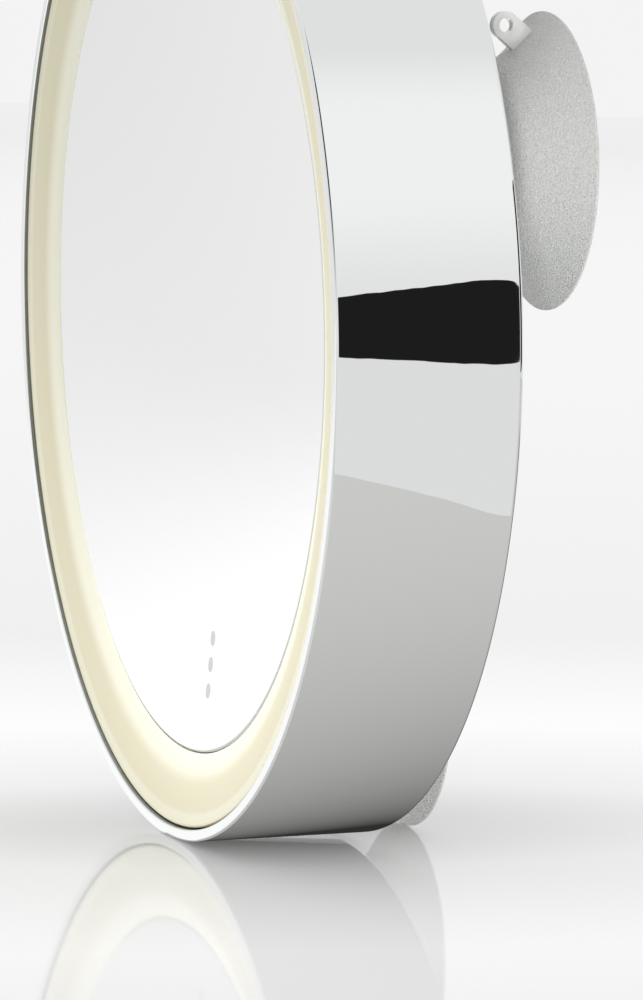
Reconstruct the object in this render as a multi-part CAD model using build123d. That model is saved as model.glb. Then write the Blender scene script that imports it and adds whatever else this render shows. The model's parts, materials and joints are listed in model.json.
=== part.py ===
from build123d import *
from math import cos, radians, sin, sqrt
import os

# A round, lit magnifying shaving mirror that holds to a wall by three suction cups.
# Everything is drawn about the drum's own axis: X across, Y up and Z forward, from the wall
# towards the viewer, in millimetres. Each finished solid is then turned so that the mirror
# faces -Y and +Z is up. The origin is on the drum's axis, in the plane of the wall.

# Fits between pieces
DROP_IN = 0.2  # gap round a piece that drops into another
RUNNING = 0.05  # radial gap of a shaft in its bore
SWIVEL_GAP = 0.1  # end gap between faces that turn on each other

# Drum
DRUM_R = 100.0
DRUM_WALL = 2.25
EDGE_ROUND = 0.5  # outer corners of the lip and of the rear edge
LIP_BREAK = 0.3  # inner corner of the lip
SHOULDER_W = 2.25  # ring inside the drum that the plate and the rear cover meet on
SHOULDER_T = 2.0

# Light ring, glass and the plate behind them
RING_W = 13.95
RING_EDGE_GAP = 0.35
RING_SETBACK = 0.65  # front lip to the ring's outer edge
RING_BULGE = 0.35
RING_T = 2.0
RING_BREAK = 0.25
GLASS_SETBACK = 3.6  # front lip to the glass's rim
GLASS_CURVE_R = 625.0
GLASS_T = 3.0
GLASS_BEVEL = 0.4
PAD_T = 0.8
PAD_INSET = 5.0
PLATE_T = 1.8
PLATE_RIM_T = 1.8
LIGHT_DEPTH = 10.8  # front lip to the face that the LED board lies on

# LED board
BOARD_T = 1.6
LED_COUNT = 24
LED_SIZE = 5.0
LED_H = 1.6
LED_WELL_R = 2.0
LED_WELL_DEPTH = 0.5
BOARD_SCREW_COUNT = 6
BOARD_SCREW_R = 0.9
BOARD_SCREW_HEAD_R = 1.8
BOARD_SCREW_HEAD_H = 1.1

# Rear cover
COVER_RECESS = 1.0  # drum's rear edge to the cover's outer face
COVER_T = 2.2
COVER_BREAK = 0.5
SKIRT_T = 2.15
GASKET_T = 1.0
COVER_SCREW_COUNT = 6
COVER_SCREW_R = 1.5
COVER_SCREW_BITE = 9.0
COVER_SCREW_HEAD_R = 2.8
COVER_SCREW_HEAD_H = 1.2
SCREW_HOLE_GAP = 0.2
BOSS_R = 3.4
BOSS_GAP = 0.6

# Battery bay, its cells and its door
CELL_COUNT = 3
CELL_R = 7.25
CELL_L = 50.5
CELL_NUB_R = 2.75
CELL_NUB_H = 1.0
CELL_BREAK = 0.6
CELL_GAP = 0.7  # between neighbouring cells
CELL_FLOOR_GAP = 0.3
CELL_DOOR_GAP = 0.4
BAY_SIDE_GAP = 0.2
BAY_WALL = 1.6
BAY_FLOOR_T = 1.5
BAY_PLATE_GAP = 0.72
CONTACT_T = 0.4
CONTACT_W = 11.0
CONTACT_H = 11.0
SPRING_L = 6.7
SPRING_WIRE_R = 0.35
SPRING_BASE_R = 4.2
SPRING_TIP_R = 2.4
SPRING_PITCH = 1.9
CRADLE_T = 2.0
CRADLE_H = 6.0
CRADLE_Y = 15.0
DOOR_T = 1.8
DOOR_LEDGE = 3.0
DOOR_CLEAR = 0.25
DOOR_GASKET_T = 0.5
DOOR_GASKET_W = 1.8
DOOR_BREAK = 0.4
DOOR_CORNER_R = 2.5
LATCH_W = 12.0
LATCH_L = 8.0
LATCH_SLOT = 0.8
LATCH_RIB_H = 0.5
LATCH_RIBS = 3
NOTCH_R = 8.0
NOTCH_DEPTH = 1.2
HINGE_PIN_R = 0.8
HINGE_PIN_L = 42.0
KNUCKLE_R = 1.4
KNUCKLE_L = 30.0
KNUCKLE_GAP = 0.3
HINGE_RELIEF = 0.6  # door's edge beside the knuckle, set back so that it swings clear

# Suction cups
CUP_ANGLES = (24.0, 144.0, 264.0)
CUP_INSET = 25.0  # drum's rim in to the cups' circle
CUP_HEIGHT = 16.0  # wall to the drum's rear edge
CUP_R = 27.0
CUP_LIP_T = 0.5
CUP_LIP_FLAT = 1.4
CUP_HOLLOW = 8.0
CUP_SHOULDER_R = 18.0
CUP_SHOULDER_Z = 9.8
CUP_FLANK_DIP = 0.9  # flank's hollow curve, below its chord
CUP_NECK_R = 9.0
CUP_NECK_Z = 13.2
TAB_TURN = (90.0, 90.0, 90.0)  # direction of each cup's pull tab
TAB_W = 5.0
TAB_T = 1.9
TAB_REACH = 4.2  # flank to the centre of the tab's hole
TAB_ROOT = 1.2
TAB_LEAN = 40.0  # away from the cup's axis
TAB_HOLE_R = 1.3
TAB_BREAK = 0.3
STUD_R = 3.6
STUD_COLLAR_R = 6.0
STUD_ROOT_R = 5.2
STUD_ROOT_Z = 9.4
STUD_ROOT_T = 1.3
STUD_TIP = 1.6
BUSH_R = 5.0
BUSH_FLANGE_R = 7.0
BUSH_FLANGE_T = 0.8
SOCKET_R = 8.0
SOCKET_H = 1.8
CLIP_T = 0.7
CLIP_R = 5.6
CLIP_GROOVE = 0.9
CLIP_MOUTH = 3.4

# Power switch
SWITCH_INSET = 20.0  # drum's rim in to the button's axis
SWITCH_ANGLE = 204.0
BUTTON_R = 7.0
BUTTON_PROUD = 1.4  # cover's outer face to the top of the button
BUTTON_DISH = 0.5
BUTTON_TRAVEL = 1.5
BUTTON_FLANGE_W = 0.9
BUTTON_FLANGE_T = 0.9
BUTTON_STEM_R = 2.0
BUTTON_STEM_L = 1.2
BEZEL_W = 2.4
BEZEL_T = 0.6
BEZEL_SLEEVE_T = 0.8
BEZEL_SLEEVE_L = 3.0
PLUNGER_R = 1.6
SWITCH_W = 12.0
SWITCH_H = 8.4
SWITCH_SPRING_L = 4.4
SWITCH_SPRING_R = 3.2
SWITCH_SPRING_WIRE_R = 0.25
SWITCH_SPRING_PITCH = 1.25
SWITCH_BOARD_L = 30.0
SWITCH_BOARD_W = 13.0
SWITCH_POST_SPAN = 23.0
SWITCH_POST_R = 2.4

# LED driver and wiring
DRIVER_X = 44.5
DRIVER_Y = -4.0
DRIVER_W = 26.0
DRIVER_L = 40.0
DRIVER_BACK = 24.0
DRIVER_POST_R = 2.2
DRIVER_POST_INSET = 3.0
SMALL_SCREW_R = 0.9
SMALL_SCREW_BITE = 5.0
SMALL_SCREW_HEAD_R = 1.7
SMALL_SCREW_HEAD_H = 1.0
CHIP_SIZES = ((10.0, 10.0, 4.5), (6.0, 5.0, 1.5), (6.5, 3.5, 2.6), (4.0, 8.0, 5.5))
CHIP_PLACES = ((-4.0, 8.0), (4.5, -2.0), (-5.0, -6.0), (6.5, 10.0))
WIRE_R = 0.6
WIRE_GAP = 2.4
WIRE_BEND_R = 3.0
SWITCH_WIRE_INSET = 6.0
SWITCH_WIRE_DROP = 12.0
SWITCH_WIRE_LEAD = 12.0

# Stack from the wall forward. The drum is as deep as its cells, plate and dished glass need.
REAR_EDGE = CUP_HEIGHT
COVER_BACK = REAR_EDGE + COVER_RECESS
COVER_FRONT = COVER_BACK + COVER_T
DOOR_FRONT = COVER_BACK + DOOR_T
LEDGE = DOOR_FRONT + DOOR_GASKET_T
CELL_PITCH = 2 * CELL_R + CELL_GAP
CELL_Z = DOOR_FRONT + CELL_DOOR_GAP + CELL_R
BAY_FLOOR = CELL_Z + CELL_R + CELL_FLOOR_GAP
BAY_FRONT = BAY_FLOOR + BAY_FLOOR_T
LIP_IN_R = DRUM_R - DRUM_WALL
RING_OUT_R = LIP_IN_R - RING_EDGE_GAP
RING_IN_R = RING_OUT_R - RING_W
GLASS_R = RING_IN_R - DROP_IN
PLATE_BACK_CURVE_R = GLASS_CURVE_R + GLASS_T + PAD_T + PLATE_T
DISH_CENTRE = BAY_FRONT + BAY_PLATE_GAP + PLATE_BACK_CURVE_R
GLASS_RIM = DISH_CENTRE - sqrt(GLASS_CURVE_R**2 - GLASS_R**2)
LIP = GLASS_RIM + GLASS_SETBACK
DRUM_DEPTH = LIP - REAR_EDGE
FLANGE_FRONT = LIP - LIGHT_DEPTH
FLANGE_BACK = FLANGE_FRONT - PLATE_T
SHOULDER_BACK = FLANGE_BACK - SHOULDER_T
SKIRT_END = SHOULDER_BACK - GASKET_T
PLATE_RIM_R = RING_IN_R + PLATE_RIM_T
COVER_R = LIP_IN_R - DROP_IN
SKIRT_IN_R = COVER_R - SKIRT_T
BOSS_CIRCLE_R = SKIRT_IN_R - BOSS_GAP - BOSS_R
BOARD_IN_R = PLATE_RIM_R + DROP_IN
BOARD_OUT_R = RING_OUT_R - RING_T - DROP_IN
LED_CIRCLE_R = (BOARD_IN_R + BOARD_OUT_R) / 2
BOARD_FRONT = FLANGE_FRONT + BOARD_T
BAY_W = CELL_COUNT * CELL_PITCH + 2 * BAY_SIDE_GAP
BAY_L = CELL_L + SPRING_L + 2 * CONTACT_T
DOOR_W = BAY_W + 2 * DOOR_LEDGE
DOOR_L = BAY_L + 2 * DOOR_LEDGE
HINGE_Y = DOOR_L / 2 + KNUCKLE_R + KNUCKLE_GAP
HINGE_Z = COVER_BACK + KNUCKLE_R
CUP_CIRCLE_R = DRUM_R - CUP_INSET
SOCKET_FRONT = COVER_FRONT + SOCKET_H
STUD_COLLAR_FRONT = COVER_BACK - BUSH_FLANGE_T - SWIVEL_GAP
CLIP_BACK = SOCKET_FRONT + SWIVEL_GAP
STUD_FRONT = CLIP_BACK + CLIP_T + STUD_TIP
SWITCH_RADIUS = DRUM_R - SWITCH_INSET
BUTTON_BACK = COVER_BACK - BUTTON_PROUD
BEZEL_SLEEVE_END = COVER_BACK + BEZEL_SLEEVE_L
BUTTON_FLANGE_BACK = BEZEL_SLEEVE_END + SWIVEL_GAP
BUTTON_FRONT = BUTTON_FLANGE_BACK + BUTTON_FLANGE_T
SWITCH_BACK = BUTTON_FRONT + SWITCH_SPRING_L
SWITCH_FRONT = SWITCH_BACK + SWITCH_H
DRIVER_FRONT = DRIVER_BACK + BOARD_T

BOTTOM_UP = (Align.CENTER, Align.CENTER, Align.MIN)


def polar(radius, angle):
    """X and Y of a point at a radius and an angle in degrees round the drum's axis."""
    return radius * cos(radians(angle)), radius * sin(radians(angle))


def cylinder(radius, low, high, at=(0, 0)):
    """Upright cylinder between two heights."""
    return Pos(at[0], at[1], low) * Cylinder(radius, high - low, align=BOTTOM_UP)


def tube(outer, inner, low, high, at=(0, 0)):
    """Upright tube between two heights."""
    return cylinder(outer, low, high, at) - cylinder(inner, low, high, at)


def block(width, length, low, high, at=(0, 0)):
    """Upright block between two heights."""
    return Pos(at[0], at[1], low) * Box(width, length, high - low, align=BOTTOM_UP)


def spun(outline):
    """Turn a closed outline of edges, drawn as radius and height, about the Z axis."""
    return revolve(Plane.XZ * make_face(outline), Axis.Z)


def spun_polygon(*points):
    """Turn a closed polygon of radius and height points about the Z axis."""
    return spun(Polyline(*points, close=True).edges())


def circles(shape, radius):
    """The shape's round edges of one radius."""
    near = lambda edge: abs(edge.radius - radius) < 1e-4
    return shape.edges().filter_by(GeomType.CIRCLE).filter_by(near)


def screw(shank_r, bite, head_r, head_h):
    """Cross-head screw whose head lies under Z = 0 and whose shank runs up from there."""
    slot = head_r * 1.2
    slot_w = head_r * 0.28
    head = cylinder(head_r, -head_h, 0)
    head = chamfer(head.edges().group_by(Axis.Z)[0], head_h * 0.3)
    recess = block(slot, slot_w, -head_h, -head_h * 0.35)
    recess += block(slot_w, slot, -head_h, -head_h * 0.35)
    shank = cylinder(shank_r, 0, bite)
    shank = chamfer(shank.edges().group_by(Axis.Z)[-1], shank_r * 0.4)
    return head - recess + shank


def wire_path(points):
    """Rounded path through a few corners."""
    return FilletPolyline(*points, radius=WIRE_BEND_R)


def wire(points):
    """Round insulated wire along a rounded path."""
    path = wire_path(points)
    section = Plane(origin=path @ 0, z_dir=path % 0) * Circle(WIRE_R)
    return sweep(section, path)


def coil(base_r, tip_r, pitch, height, wire_r):
    """Open helical spring whose wire's outermost points span Z = 0 to the height."""
    rise = height - 2 * wire_r
    cone = -Vector(rise, base_r - tip_r).get_angle(Vector(1, 0)) if base_r > tip_r else 0
    path = Pos(0, 0, wire_r) * Helix(pitch, rise, base_r, cone_angle=cone)
    section = Plane(origin=path @ 0, z_dir=path % 0) * Circle(wire_r)
    return sweep(section, path, is_frenet=True)


# Front of the mirror


def drum_housing():
    """Spun drum: side wall, flat front lip and an inner shoulder."""
    shoulder_r = LIP_IN_R - SHOULDER_W
    shell = spun_polygon(
        (LIP_IN_R, REAR_EDGE),
        (DRUM_R, REAR_EDGE),
        (DRUM_R, LIP),
        (LIP_IN_R, LIP),
        (LIP_IN_R, FLANGE_BACK),
        (shoulder_r, FLANGE_BACK),
        (shoulder_r, SHOULDER_BACK),
        (LIP_IN_R, SHOULDER_BACK),
    )
    shell = fillet(circles(shell, DRUM_R), EDGE_ROUND)
    inner = circles(shell, LIP_IN_R).group_by(Axis.Z)
    return chamfer([*inner[0], *inner[-1]], LIP_BREAK)


def light_diffuser():
    """Frosted ring lens: gently domed face, outer skirt down to the plate, seat on its rim."""
    ring_top = LIP - RING_SETBACK
    skirt_in = RING_OUT_R - RING_T
    rise = ring_top - GLASS_RIM
    slope = rise / RING_W

    def arc(r_from, r_to, drop):
        ends = [(r, GLASS_RIM + slope * (r - RING_IN_R) - drop) for r in (r_from, r_to)]
        return SagittaArc(*ends, -RING_BULGE if r_to < r_from else RING_BULGE)

    face = arc(RING_OUT_R - RING_BREAK, RING_IN_R + RING_BREAK, 0)
    under = arc(PLATE_RIM_R, skirt_in, RING_T)
    points = [
        face @ 1,
        (RING_IN_R, GLASS_RIM - RING_BREAK),
        (RING_IN_R, GLASS_RIM - RING_T),
        (PLATE_RIM_R, GLASS_RIM - RING_T),
        under @ 0,
    ]
    back = [under @ 1, (skirt_in, FLANGE_FRONT), (RING_OUT_R, FLANGE_FRONT)]
    back += [(RING_OUT_R, ring_top - RING_BREAK), face @ 0]
    return spun([face, *Polyline(*points).edges(), under, *Polyline(*back).edges()])


def dish_height(surface_r, radius):
    """Height of a dished surface, all of which share one centre, at a distance from the axis."""
    return DISH_CENTRE - sqrt(surface_r**2 - radius**2)


def dish_arc(surface_r, start, end):
    """Arc of a dished surface between two distances from the axis."""
    return ThreePointArc(*[(r, dish_height(surface_r, r)) for r in (start, (start + end) / 2, end)])


def dished_disc(front_r, thickness, rim_r, bevel=0.0):
    """Dished disc, with an optional bevel round its front edge."""
    front = dish_arc(front_r, 0, rim_r - bevel)
    back = dish_arc(front_r + thickness, rim_r, 0)
    rim = [front @ 1, (rim_r, (front @ 1).Y - bevel), back @ 0] if bevel else [front @ 1, back @ 0]
    return spun([front, *Polyline(*rim).edges(), back, Line(back @ 1, front @ 0)])


def mirror_glass():
    """Concave magnifying glass, silvered behind, with a ground edge."""
    return dished_disc(GLASS_CURVE_R, GLASS_T, GLASS_R, GLASS_BEVEL)


def glass_pad():
    """Foam adhesive disc between the glass and its plate."""
    return dished_disc(GLASS_CURVE_R + GLASS_T, PAD_T, GLASS_R - PAD_INSET)


def boss_places():
    """Cover screws stand midway between the cups."""
    step = 360 / COVER_SCREW_COUNT
    first = CUP_ANGLES[0] + step / 2
    return [polar(BOSS_CIRCLE_R, first + step * i) for i in range(COVER_SCREW_COUNT)]


def board_screw_places():
    """LED board screws stand midway between two LEDs."""
    step = 360 / BOARD_SCREW_COUNT
    return [polar(LED_CIRCLE_R, step * i) for i in range(BOARD_SCREW_COUNT)]


def led_wire_places():
    """Both LED wires pass the plate midway between two LEDs and clear of a screw."""
    angle = 360 / LED_COUNT
    radii = (LED_CIRCLE_R - WIRE_GAP / 2, LED_CIRCLE_R + WIRE_GAP / 2)
    return [polar(radius, angle) for radius in radii]


def carrier_plate():
    """Moulded plate: dish behind the glass, rim under the ring lens, flange and screw bosses."""
    plate = dished_disc(GLASS_CURVE_R + GLASS_T + PAD_T, PLATE_T, RING_IN_R)
    plate += tube(PLATE_RIM_R, RING_IN_R, FLANGE_BACK, GLASS_RIM - RING_T)
    plate += tube(LIP_IN_R - DROP_IN, RING_IN_R, FLANGE_BACK, FLANGE_FRONT)
    for at in boss_places():
        plate += cylinder(BOSS_R, COVER_FRONT, FLANGE_BACK, at)
    for at in boss_places():
        plate -= cylinder(COVER_SCREW_R, COVER_FRONT, COVER_FRONT + COVER_SCREW_BITE, at)
    for at in board_screw_places():
        plate -= cylinder(BOARD_SCREW_R, FLANGE_BACK, FLANGE_FRONT, at)
    for at in led_wire_places():
        plate -= cylinder(WIRE_R + DROP_IN, FLANGE_BACK, FLANGE_FRONT, at)
    return plate


def led_board():
    """Ring-shaped circuit board."""
    board = tube(BOARD_OUT_R, BOARD_IN_R, FLANGE_FRONT, BOARD_FRONT)
    for at in board_screw_places():
        board -= cylinder(BOARD_SCREW_R, FLANGE_FRONT, BOARD_FRONT, at)
    return board


def leds():
    """Square LED packages, each with a round well for its phosphor."""
    package = block(LED_SIZE, LED_SIZE, BOARD_FRONT, BOARD_FRONT + LED_H)
    package -= cylinder(LED_WELL_R, BOARD_FRONT + LED_H - LED_WELL_DEPTH, BOARD_FRONT + LED_H)
    step = 360 / LED_COUNT
    return [Rot(0, 0, step * (i + 0.5)) * Pos(LED_CIRCLE_R, 0, 0) * package for i in range(LED_COUNT)]


def led_board_screws():
    """Screws that hold the LED board down, entered from the front."""
    one = screw(BOARD_SCREW_R, BOARD_T + PLATE_T, BOARD_SCREW_HEAD_R, BOARD_SCREW_HEAD_H)
    return [Pos(x, y, BOARD_FRONT) * Rot(180, 0, 0) * one for x, y in board_screw_places()]


# Back of the mirror


def cell_places():
    """X of each cell, and +1 where its positive end is up or -1 where it is down."""
    middle = (CELL_COUNT - 1) / 2
    return [((i - middle) * CELL_PITCH, 1 if i % 2 == 0 else -1) for i in range(CELL_COUNT)]


def switch_frame():
    """Place and turn of the power switch."""
    return Pos(*polar(SWITCH_RADIUS, SWITCH_ANGLE), 0) * Rot(0, 0, SWITCH_ANGLE)


def switch_posts():
    """Places of the two posts under the switch board, in the switch's own frame."""
    return [(0, side * SWITCH_POST_SPAN / 2) for side in (-1, 1)]


def driver_posts():
    """Places of the four posts under the driver board."""
    half_w = DRIVER_W / 2 - DRIVER_POST_INSET
    half_l = DRIVER_L / 2 - DRIVER_POST_INSET
    return [(DRIVER_X + i * half_w, DRIVER_Y + j * half_l) for i in (-1, 1) for j in (-1, 1)]


def battery_bay(cover):
    """Add the bay's box, door frame and hinge block to the cover and hollow them out."""
    recess_w = DOOR_W + 2 * DOOR_CLEAR
    recess_l = DOOR_L + 2 * DOOR_CLEAR
    trough_r = KNUCKLE_R + KNUCKLE_GAP
    trough_l = KNUCKLE_L + 2 * KNUCKLE_GAP
    frame_front = LEDGE + BAY_WALL
    frame_w = recess_w + 2 * BAY_WALL
    frame_low = -recess_l / 2 - BAY_WALL
    frame_high = HINGE_Y + trough_r + BAY_WALL
    frame_at = (0, (frame_low + frame_high) / 2)
    cover += block(frame_w, frame_high - frame_low, COVER_BACK, frame_front, frame_at)
    cover += block(BAY_W + 2 * BAY_WALL, BAY_L + 2 * BAY_WALL, COVER_BACK, BAY_FRONT)
    cover -= block(recess_w, recess_l, COVER_BACK, LEDGE)
    cover -= block(BAY_W, BAY_L, COVER_BACK, BAY_FLOOR)
    trough = block(trough_l, 2 * trough_r, COVER_BACK, HINGE_Z, (0, HINGE_Y))
    trough += Pos(0, HINGE_Y, HINGE_Z) * Rot(0, 90, 0) * Cylinder(trough_r, trough_l)
    cover -= trough
    pin_end = frame_w / 2
    pin_start = -HINGE_PIN_L / 2
    pin_hole = Cylinder(HINGE_PIN_R, pin_end - pin_start)
    cover -= Pos((pin_start + pin_end) / 2, HINGE_Y, HINGE_Z) * Rot(0, 90, 0) * pin_hole
    cover -= cylinder(NOTCH_R, COVER_BACK, COVER_BACK + NOTCH_DEPTH, (0, -recess_l / 2))
    for y in (-CRADLE_Y, CRADLE_Y):
        cradle = block(BAY_W, CRADLE_T, BAY_FLOOR - CRADLE_H, BAY_FLOOR, (0, y))
        for x, _ in cell_places():
            saddle = Cylinder(CELL_R + DROP_IN, CRADLE_T)
            cradle -= Pos(x, y, CELL_Z) * Rot(90, 0, 0) * saddle
        cover += cradle
    return cover


def rear_cover():
    """Moulded back with its skirt, battery bay, cup sockets, switch seat and board posts."""
    cover = cylinder(COVER_R, COVER_BACK, COVER_FRONT)
    cover += tube(COVER_R, SKIRT_IN_R, COVER_BACK, SKIRT_END)
    cover = chamfer(circles(cover, COVER_R).group_by(Axis.Z)[0], COVER_BREAK)
    cover = battery_bay(cover)
    for angle in CUP_ANGLES:
        at = polar(CUP_CIRCLE_R, angle)
        cover += cylinder(SOCKET_R, COVER_BACK, SOCKET_FRONT, at)
        cover -= cylinder(BUSH_R, COVER_BACK, SOCKET_FRONT, at)
    for at in boss_places():
        cover -= cylinder(COVER_SCREW_R + SCREW_HOLE_GAP, COVER_BACK, COVER_FRONT, at)
        sink_r = COVER_SCREW_HEAD_R + SCREW_HOLE_GAP
        cover -= cylinder(sink_r, COVER_BACK, COVER_BACK + COVER_SCREW_HEAD_H, at)
    cover -= switch_frame() * cylinder(BUTTON_R + RUNNING + BEZEL_SLEEVE_T, COVER_BACK, COVER_FRONT)
    for at in switch_posts():
        post = cylinder(SWITCH_POST_R, COVER_FRONT, SWITCH_FRONT, at)
        post -= cylinder(SMALL_SCREW_R, SWITCH_FRONT - SMALL_SCREW_BITE + BOARD_T, SWITCH_FRONT, at)
        cover += switch_frame() * post
    for at in driver_posts():
        post = cylinder(DRIVER_POST_R, COVER_FRONT, DRIVER_BACK, at)
        cover += post
        cover -= cylinder(SMALL_SCREW_R, DRIVER_BACK - SMALL_SCREW_BITE + BOARD_T, DRIVER_BACK, at)
    return cover


def rear_gasket():
    """Flat ring between the cover's skirt and the drum's shoulder."""
    return tube(COVER_R, SKIRT_IN_R, SKIRT_END, SHOULDER_BACK)


def cover_screws():
    """Screws through the cover into the plate's bosses."""
    bite = COVER_T - COVER_SCREW_HEAD_H + COVER_SCREW_BITE
    one = screw(COVER_SCREW_R, bite, COVER_SCREW_HEAD_R, COVER_SCREW_HEAD_H)
    return [Pos(x, y, COVER_BACK + COVER_SCREW_HEAD_H) * one for x, y in boss_places()]


# Battery bay


def cell(x, up):
    """One AA cell with its contact nub, its positive end up or down."""
    body_l = CELL_L - CELL_NUB_H
    can = Cylinder(CELL_R, body_l, align=BOTTOM_UP)
    can = chamfer(circles(can, CELL_R), CELL_BREAK)
    can += Pos(0, 0, body_l) * Cylinder(CELL_NUB_R, CELL_NUB_H, align=BOTTOM_UP)
    negative_end = -up * (BAY_L / 2 - CONTACT_T - SPRING_L)
    return Pos(x, negative_end, CELL_Z) * Rot(-90 * up, 0, 0) * can


def battery_springs():
    """Conical springs at the cells' negative ends, closed to their fitted length."""
    one = coil(SPRING_BASE_R, SPRING_TIP_R, SPRING_PITCH, SPRING_L, SPRING_WIRE_R)
    wall = BAY_L / 2 - CONTACT_T
    return [Pos(x, -up * wall, CELL_Z) * Rot(-90 * up, 0, 0) * one for x, up in cell_places()]


def battery_contacts():
    """Plates on the bay's end walls: a single one at each end of the row, joined pairs between."""
    places = cell_places()
    plates = []
    for end in (-1, 1):
        groups = [[0], [1, 2]] if end < 0 else [[0, 1], [2]]
        for group in groups:
            xs = [places[i][0] for i in group]
            width = max(xs) - min(xs) + CONTACT_W
            y = end * (BAY_L - CONTACT_T) / 2
            plate = Box(width, CONTACT_T, CONTACT_H)
            plates.append(Pos((min(xs) + max(xs)) / 2, y, CELL_Z) * plate)
    return plates


def battery_door():
    """Hinged door with a knuckle, a snap tab between two slots and grip ribs."""
    panel = block(DOOR_W, DOOR_L - HINGE_RELIEF, COVER_BACK, DOOR_FRONT, (0, -HINGE_RELIEF / 2))
    panel = fillet(panel.edges().filter_by(Axis.Z).group_by(Axis.Y)[0], DOOR_CORNER_R)
    panel = chamfer(panel.faces().sort_by(Axis.Z)[0].edges(), DOOR_BREAK)
    edge = -DOOR_L / 2
    for side in (-1, 1):
        x = side * (LATCH_W + LATCH_SLOT) / 2
        panel -= block(LATCH_SLOT, LATCH_L, COVER_BACK, DOOR_FRONT, (x, edge + LATCH_L / 2))
    for i in range(LATCH_RIBS):
        y = edge + LATCH_L * (i + 1) / (LATCH_RIBS + 1)
        rib = Cylinder(LATCH_RIB_H, LATCH_W - 2 * LATCH_SLOT)
        panel += Pos(0, y, COVER_BACK) * Rot(0, 90, 0) * rib
    web_l = HINGE_Y - DOOR_L / 2 + HINGE_RELIEF + DOOR_BREAK
    panel += block(KNUCKLE_L, web_l, COVER_BACK, DOOR_FRONT, (0, HINGE_Y - web_l / 2))
    panel += Pos(0, HINGE_Y, HINGE_Z) * Rot(0, 90, 0) * Cylinder(KNUCKLE_R, KNUCKLE_L)
    return panel - Pos(0, HINGE_Y, HINGE_Z) * Rot(0, 90, 0) * Cylinder(HINGE_PIN_R + RUNNING, KNUCKLE_L)


def door_gasket():
    """Soft frame on the door's inner face that seals on the bay's ledge."""
    inner_w = BAY_W + DOOR_LEDGE - DOOR_GASKET_W
    inner_l = BAY_L + DOOR_LEDGE - DOOR_GASKET_W
    outer = block(inner_w + 2 * DOOR_GASKET_W, inner_l + 2 * DOOR_GASKET_W, DOOR_FRONT, LEDGE)
    return outer - block(inner_w, inner_l, DOOR_FRONT, LEDGE)


def door_hinge_pin():
    """Steel pin held in the cover, on which the door's knuckle turns."""
    return Pos(0, HINGE_Y, HINGE_Z) * Rot(0, 90, 0) * Cylinder(HINGE_PIN_R, HINGE_PIN_L)


# Suction cups, each drawn about its own axis


def cup_stud():
    """Turned stud: root moulded into the cup, collar, shaft and a groove for its clip."""
    root_front = STUD_ROOT_Z + STUD_ROOT_T
    neck_r = STUD_R - CLIP_GROOVE
    stud = cylinder(STUD_ROOT_R, STUD_ROOT_Z, root_front)
    stud += cylinder(STUD_R, root_front, CUP_NECK_Z)
    stud += cylinder(STUD_COLLAR_R, CUP_NECK_Z, STUD_COLLAR_FRONT)
    shaft = cylinder(STUD_R, STUD_COLLAR_FRONT, STUD_FRONT)
    shaft = chamfer(shaft.edges().group_by(Axis.Z)[-1], CLIP_GROOVE)
    shaft -= tube(STUD_R, neck_r, CLIP_BACK, CLIP_BACK + CLIP_T)
    return stud + shaft


def stud_clip():
    """E-shaped spring clip in the stud's groove."""
    clip = tube(CLIP_R, STUD_R - CLIP_GROOVE, CLIP_BACK, CLIP_BACK + CLIP_T)
    return clip - block(CLIP_R, CLIP_MOUTH, CLIP_BACK, CLIP_BACK + CLIP_T, (CLIP_R / 2 + 1, 0))


def cup_side():
    """Outline of the dome's flank, from the lip up to the shoulder."""
    return SagittaArc((CUP_R, CUP_LIP_T), (CUP_SHOULDER_R, CUP_SHOULDER_Z), CUP_FLANK_DIP)


def pull_tab():
    """Tab with a hole near its round end, on the flank, in a plane through the cup's axis."""
    seat = cup_side() @ 0.5
    length = TAB_ROOT + TAB_REACH
    tab = Pos(length / 2 - TAB_ROOT, 0, 0) * Box(length, TAB_W, TAB_T)
    tab += Pos(TAB_REACH, 0, 0) * Cylinder(TAB_W / 2, TAB_T)
    tab = chamfer(tab.faces().filter_by(Axis.Z).edges(), TAB_BREAK)
    tab -= Pos(TAB_REACH, 0, 0) * Cylinder(TAB_HOLE_R, TAB_T)
    return Pos(seat.X, 0, seat.Y) * Rot(0, TAB_LEAN - 90, 0) * Rot(90, 0, 0) * tab


def suction_cup():
    """Soft cup: thin lip, domed outside, hollow underside and a neck for its stud."""
    lip_in = CUP_R - CUP_LIP_FLAT
    side = cup_side()
    crown = TangentArc(side @ 1, (CUP_NECK_R, CUP_NECK_Z), tangent=side % 1)
    hollow_r = (lip_in**2 + CUP_HOLLOW**2) / (2 * CUP_HOLLOW)
    middle = lip_in / 2
    middle_z = CUP_HOLLOW - hollow_r + sqrt(hollow_r**2 - middle**2)
    hollow = ThreePointArc((0, CUP_HOLLOW), (middle, middle_z), (lip_in, 0))
    rim = Polyline((lip_in, 0), (CUP_R, 0), (CUP_R, CUP_LIP_T)).edges()
    top = Polyline((CUP_NECK_R, CUP_NECK_Z), (0, CUP_NECK_Z), (0, CUP_HOLLOW)).edges()
    cup = spun([hollow, *rim, side, crown, *top])
    return cup + pull_tab() - cup_stud()


def cup_frame(i):
    """Place of a cup, turned so that its tab points the way it should."""
    return Pos(*polar(CUP_CIRCLE_R, CUP_ANGLES[i]), 0) * Rot(0, 0, TAB_TURN[i])


def cup_bushes():
    """Flanged bushes pressed into the cover, in which the studs turn."""
    bush = tube(BUSH_R, STUD_R + RUNNING, COVER_BACK, SOCKET_FRONT)
    bush += tube(BUSH_FLANGE_R, STUD_R + RUNNING, COVER_BACK - BUSH_FLANGE_T, COVER_BACK)
    return [Pos(*polar(CUP_CIRCLE_R, angle), 0) * bush for angle in CUP_ANGLES]


# Power switch, drawn about the button's own axis


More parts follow.
